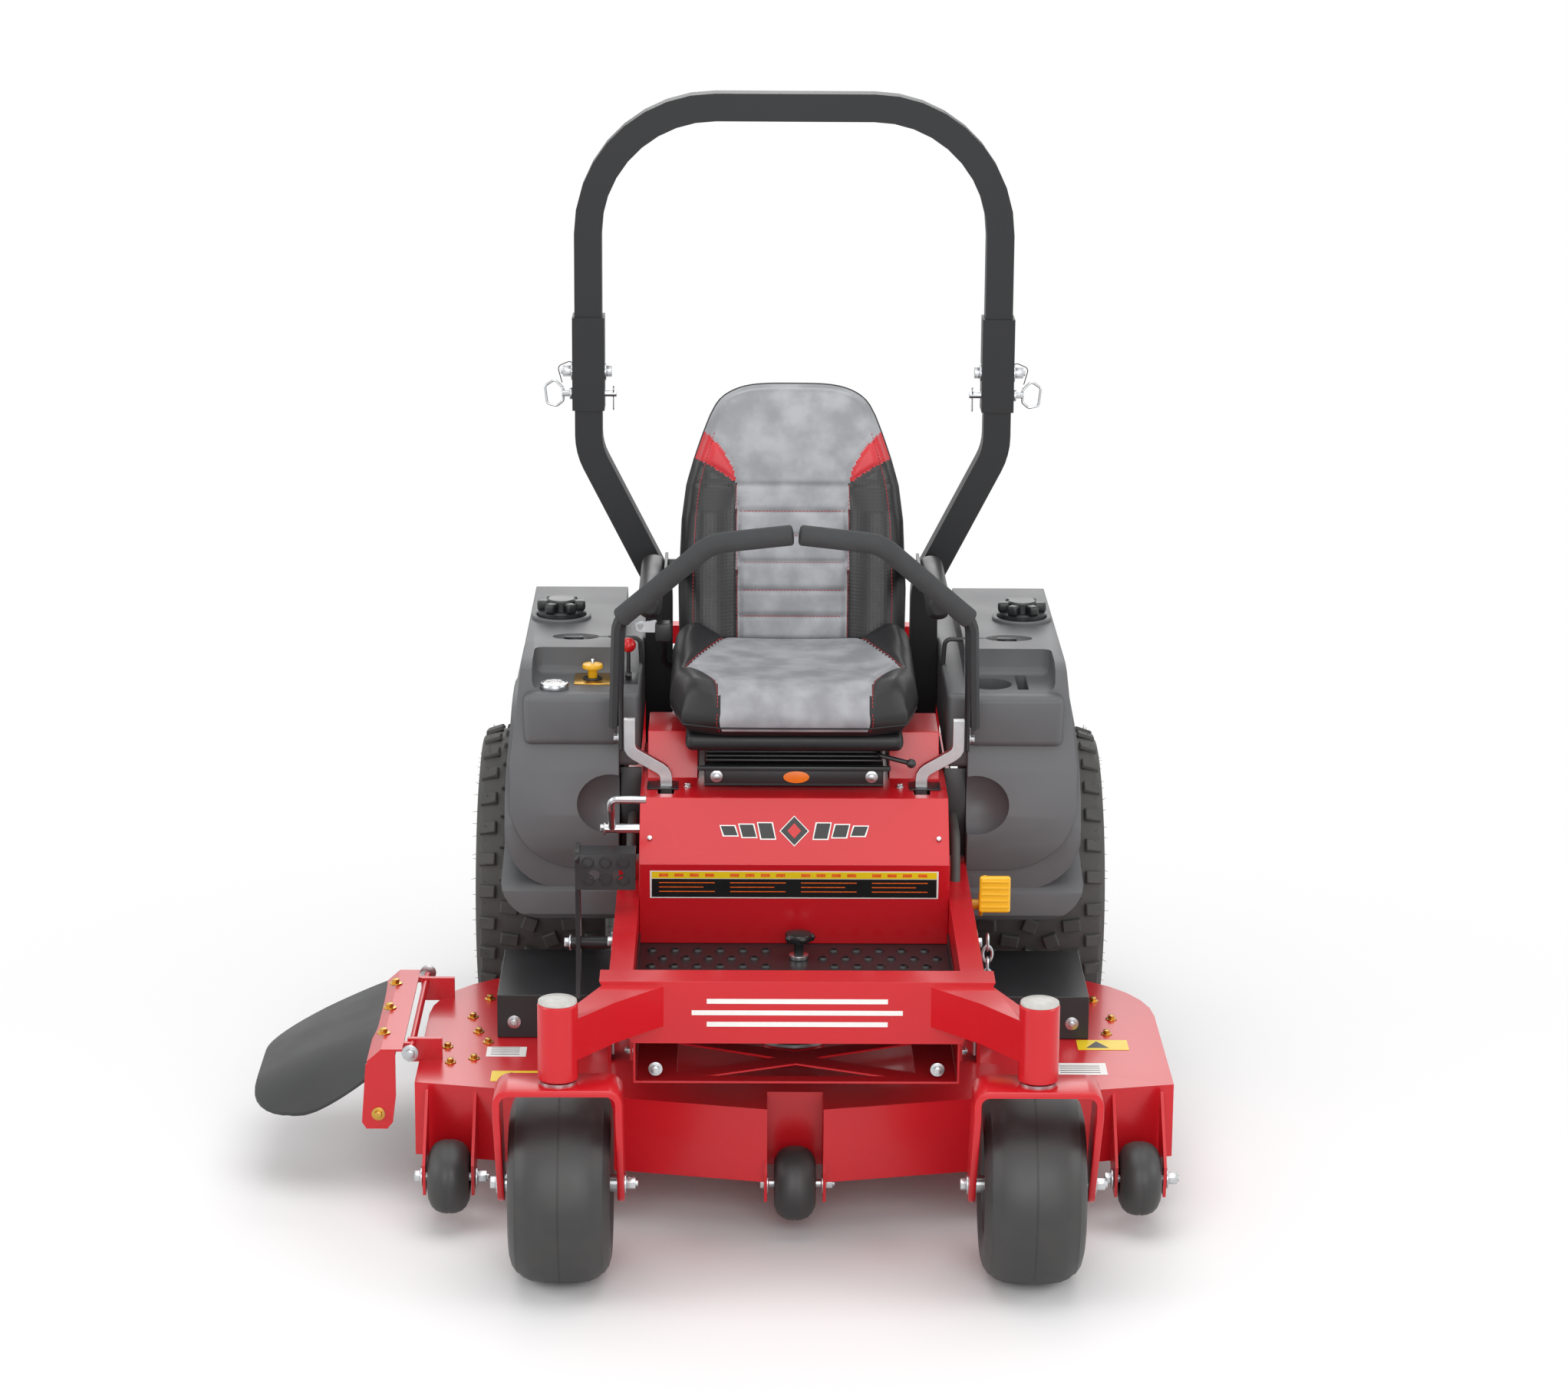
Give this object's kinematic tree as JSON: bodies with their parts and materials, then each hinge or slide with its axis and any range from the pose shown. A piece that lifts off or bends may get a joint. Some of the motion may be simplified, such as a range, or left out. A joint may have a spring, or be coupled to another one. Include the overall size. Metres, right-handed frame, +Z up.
{
  "type": "zero turn mower",
  "caption": "Ride-on mower with swivel front casters, driven rear wheels, steering levers, sprung seat, folding roll bar and a belly cutting deck with a side chute.",
  "frame": {"origin": "on the ground under the centre of the whole machine's box, with the chute down", "axes": "+X the operator's left, +Y the rear (the machine drives towards -Y), +Z up"},
  "size_m": [1.6093, 1.965, 1.83],
  "materials": {
    "red_paint": "gloss powder coat",
    "black_paint": "satin powder coat",
    "black_plastic": "rotomoulded, fine grain",
    "tyre_rubber": "matt rubber",
    "belt_rubber": "matt rubber",
    "foam_grip": "closed-cell foam",
    "zinc_plate": "bright zinc plate",
    "bare_steel": "bare steel",
    "seat_vinyl": "grained vinyl",
    "yellow_plastic": "moulded",
    "cast_alloy": "as cast"
  },
  "bodies": {
    "frame": {"main_frame": "red_paint", "front_beam": "red_paint", "brace_tray": "red_paint", "floor_pan": "black_paint", "console": "red_paint", "fuel_tank_left": "black_plastic", "fuel_tank_right": "black_plastic", "rops_post_left": "black_paint", "rops_post_right": "black_paint", "engine_block": "cast_alloy", "engine_shroud": "black_paint", "muffler": "bare_steel", "wheel_drive_left": "black_paint", "wheel_drive_right": "black_paint"},
    "rops": {"rops_hoop": "black_paint"},
    "seat_mount": {"seat_base": "black_paint"},
    "seat": {"seat_cushion": "seat_vinyl", "seat_back": "seat_vinyl"},
    "deck": {"deck_shell": "red_paint", "deck_belt": "belt_rubber", "belt_cover_left": "black_paint", "belt_cover_right": "black_paint", "lift_link_left": "zinc_plate", "lift_link_right": "zinc_plate"},
    "chute": {"chute_bracket": "red_paint", "chute_flap": "belt_rubber"},
    "lift_pedal": {"lift_pedal": "black_paint"},
    "brake_pedal": {"brake_pedal": "yellow_plastic"},
    "blade_switch": {"blade_switch": "yellow_plastic"},
    "throttle": {"throttle_lever": "black_paint"},
    "lock_handle": {"lock_handle": "zinc_plate"},
    "caster_left": {"caster_fork_left": "red_paint"},
    "caster_wheel_left": {"caster_tyre_left": "tyre_rubber", "caster_rim_left": "zinc_plate"},
    "drive_wheel_left": {"drive_tyre_left": "tyre_rubber", "drive_rim_left": "black_paint"},
    "lever_left": {"lever_left": "zinc_plate"},
    "lap_bar_left": {"lap_bar_left": "black_paint", "grip_left": "foam_grip"},
    "armrest_left": {"armrest_left": "seat_vinyl"},
    "fuel_cap_left": {"fuel_cap_left": "black_plastic"},
    "caster_right": {"caster_fork_right": "red_paint"},
    "caster_wheel_right": {"caster_tyre_right": "tyre_rubber", "caster_rim_right": "zinc_plate"},
    "drive_wheel_right": {"drive_tyre_right": "tyre_rubber", "drive_rim_right": "black_paint"},
    "lever_right": {"lever_right": "zinc_plate"},
    "lap_bar_right": {"lap_bar_right": "black_paint", "grip_right": "foam_grip"},
    "armrest_right": {"armrest_right": "seat_vinyl"},
    "fuel_cap_right": {"fuel_cap_right": "black_plastic"},
    "roller_left": {"roller_left": "black_plastic"},
    "spindle_left": {"spindle_left": "cast_alloy", "blade_left": "bare_steel"},
    "roller_centre": {"roller_centre": "black_plastic"},
    "spindle_centre": {"spindle_centre": "cast_alloy", "blade_centre": "bare_steel"},
    "roller_right": {"roller_right": "black_plastic"},
    "spindle_right": {"spindle_right": "cast_alloy", "blade_right": "bare_steel"}
  },
  "joints": [
    {"name": "caster_swivel_left", "type": "hinge", "parent": "frame", "child": "caster_left", "pos_m": [0.54, -0.9175, 0.44], "axis": [0, 0, 1], "continuous": true},
    {"name": "caster_spin_left", "type": "hinge", "parent": "caster_left", "child": "caster_wheel_left", "pos_m": [0.54, -0.8175, 0.165], "axis": [1, 0, 0], "continuous": true},
    {"name": "drive_spin_left", "type": "hinge", "parent": "frame", "child": "drive_wheel_left", "pos_m": [0.619, 0.4525, 0.3], "axis": [1, 0, 0], "continuous": true},
    {"name": "lever_swing_left", "type": "hinge", "parent": "frame", "child": "lever_left", "pos_m": [0.378, -0.1275, 0.57], "axis": [1, 0, 0], "range_deg": [-10, 20]},
    {"name": "lap_bar_swing_left", "type": "hinge", "parent": "lever_left", "child": "lap_bar_left", "pos_m": [0.4544, -0.1275, 0.722], "axis": [0, 1, 0], "range_deg": [0, 50]},
    {"name": "armrest_fold_left", "type": "hinge", "parent": "seat", "child": "armrest_left", "pos_m": [0.3625, 0.3125, 0.955], "axis": [-1, 0, 0], "range_deg": [0, 95]},
    {"name": "fuel_cap_turn_left", "type": "hinge", "parent": "frame", "child": "fuel_cap_left", "pos_m": [0.583, 0.3325, 0.8503], "axis": [0, 0, 1], "continuous": true},
    {"name": "caster_swivel_right", "type": "hinge", "parent": "frame", "child": "caster_right", "pos_m": [-0.24, -0.9175, 0.44], "axis": [0, 0, 1], "continuous": true},
    {"name": "caster_spin_right", "type": "hinge", "parent": "caster_right", "child": "caster_wheel_right", "pos_m": [-0.24, -0.8175, 0.165], "axis": [1, 0, 0], "continuous": true},
    {"name": "drive_spin_right", "type": "hinge", "parent": "frame", "child": "drive_wheel_right", "pos_m": [-0.319, 0.4525, 0.3], "axis": [1, 0, 0], "continuous": true},
    {"name": "lever_swing_right", "type": "hinge", "parent": "frame", "child": "lever_right", "pos_m": [-0.078, -0.1275, 0.57], "axis": [1, 0, 0], "range_deg": [-10, 20]},
    {"name": "lap_bar_swing_right", "type": "hinge", "parent": "lever_right", "child": "lap_bar_right", "pos_m": [-0.1544, -0.1275, 0.722], "axis": [0, -1, 0], "range_deg": [0, 50]},
    {"name": "armrest_fold_right", "type": "hinge", "parent": "seat", "child": "armrest_right", "pos_m": [-0.0625, 0.3125, 0.955], "axis": [-1, 0, 0], "range_deg": [0, 95]},
    {"name": "fuel_cap_turn_right", "type": "hinge", "parent": "frame", "child": "fuel_cap_right", "pos_m": [-0.283, 0.3325, 0.8503], "axis": [0, 0, 1], "continuous": true},
    {"name": "rops_fold", "type": "hinge", "parent": "frame", "child": "rops", "pos_m": [0.15, 0.3825, 1.31], "axis": [-1, 0, 0], "range_deg": [0, 92]},
    {"name": "seat_tilt", "type": "hinge", "parent": "frame", "child": "seat_mount", "pos_m": [0.15, -0.1275, 0.6523], "axis": [1, 0, 0], "range_deg": [0, 20]},
    {"name": "seat_slide", "type": "slide", "parent": "seat_mount", "child": "seat", "axis": [0, 1, 0], "range_m": [-0.045, 0.02]},
    {"name": "roller_spin_left", "type": "hinge", "parent": "deck", "child": "roller_left", "pos_m": [0.741, -0.60631, 0.0935], "axis": [1, 0, 0], "continuous": true},
    {"name": "spindle_spin_left", "type": "hinge", "parent": "deck", "child": "spindle_left", "pos_m": [0.57, -0.1595, 0.1183], "axis": [0, 0, 1], "continuous": true},
    {"name": "roller_spin_centre", "type": "hinge", "parent": "deck", "child": "roller_centre", "pos_m": [0.15, -0.6325, 0.0935], "axis": [1, 0, 0], "continuous": true},
    {"name": "spindle_spin_centre", "type": "hinge", "parent": "deck", "child": "spindle_centre", "pos_m": [0.15, -0.3225, 0.1183], "axis": [0, 0, 1], "continuous": true},
    {"name": "roller_spin_right", "type": "hinge", "parent": "deck", "child": "roller_right", "pos_m": [-0.441, -0.60631, 0.0935], "axis": [1, 0, 0], "continuous": true},
    {"name": "spindle_spin_right", "type": "hinge", "parent": "deck", "child": "spindle_right", "pos_m": [-0.27, -0.1595, 0.1183], "axis": [0, 0, 1], "continuous": true},
    {"name": "deck_lift", "type": "slide", "parent": "frame", "child": "deck", "axis": [0, 0, 1], "range_m": [-0.028, 0.027]},
    {"name": "lift_pedal_turn", "type": "hinge", "parent": "frame", "child": "lift_pedal", "pos_m": [-0.2285, -0.3175, 0.42], "axis": [1, 0, 0], "range_deg": [-18, 18]},
    {"name": "brake_pedal_turn", "type": "hinge", "parent": "frame", "child": "brake_pedal", "pos_m": [0.4835, -0.1975, 0.455], "axis": [1, 0, 0], "range_deg": [0, 20], "stiffness_Nm_per_rad": 20, "springref_deg": -8.59},
    {"name": "chute_fold", "type": "hinge", "parent": "deck", "child": "chute", "pos_m": [-0.517, -0.2325, 0.262], "axis": [0, 1, 0], "range_deg": [0, 80]},
    {"name": "blade_switch_pull", "type": "slide", "parent": "frame", "child": "blade_switch", "axis": [0, 0, 1], "range_m": [0, 0.018]},
    {"name": "throttle_swing", "type": "hinge", "parent": "frame", "child": "throttle", "pos_m": [-0.15, 0.0675, 0.8063], "axis": [1, 0, 0], "range_deg": [-25, 25]},
    {"name": "lock_handle_lift", "type": "hinge", "parent": "frame", "child": "lock_handle", "pos_m": [-0.1722, -0.2175, 0.6], "axis": [-1, 0, 0], "range_deg": [0, 25]}
  ],
  "couplings": [
    {"joint": "lift_pedal_turn", "follows": "deck_lift", "rad_per_m": 11.1},
    {"joint": "spindle_spin_left", "follows": "spindle_spin_centre", "ratio": 1},
    {"joint": "spindle_spin_right", "follows": "spindle_spin_centre", "ratio": 1}
  ]
}
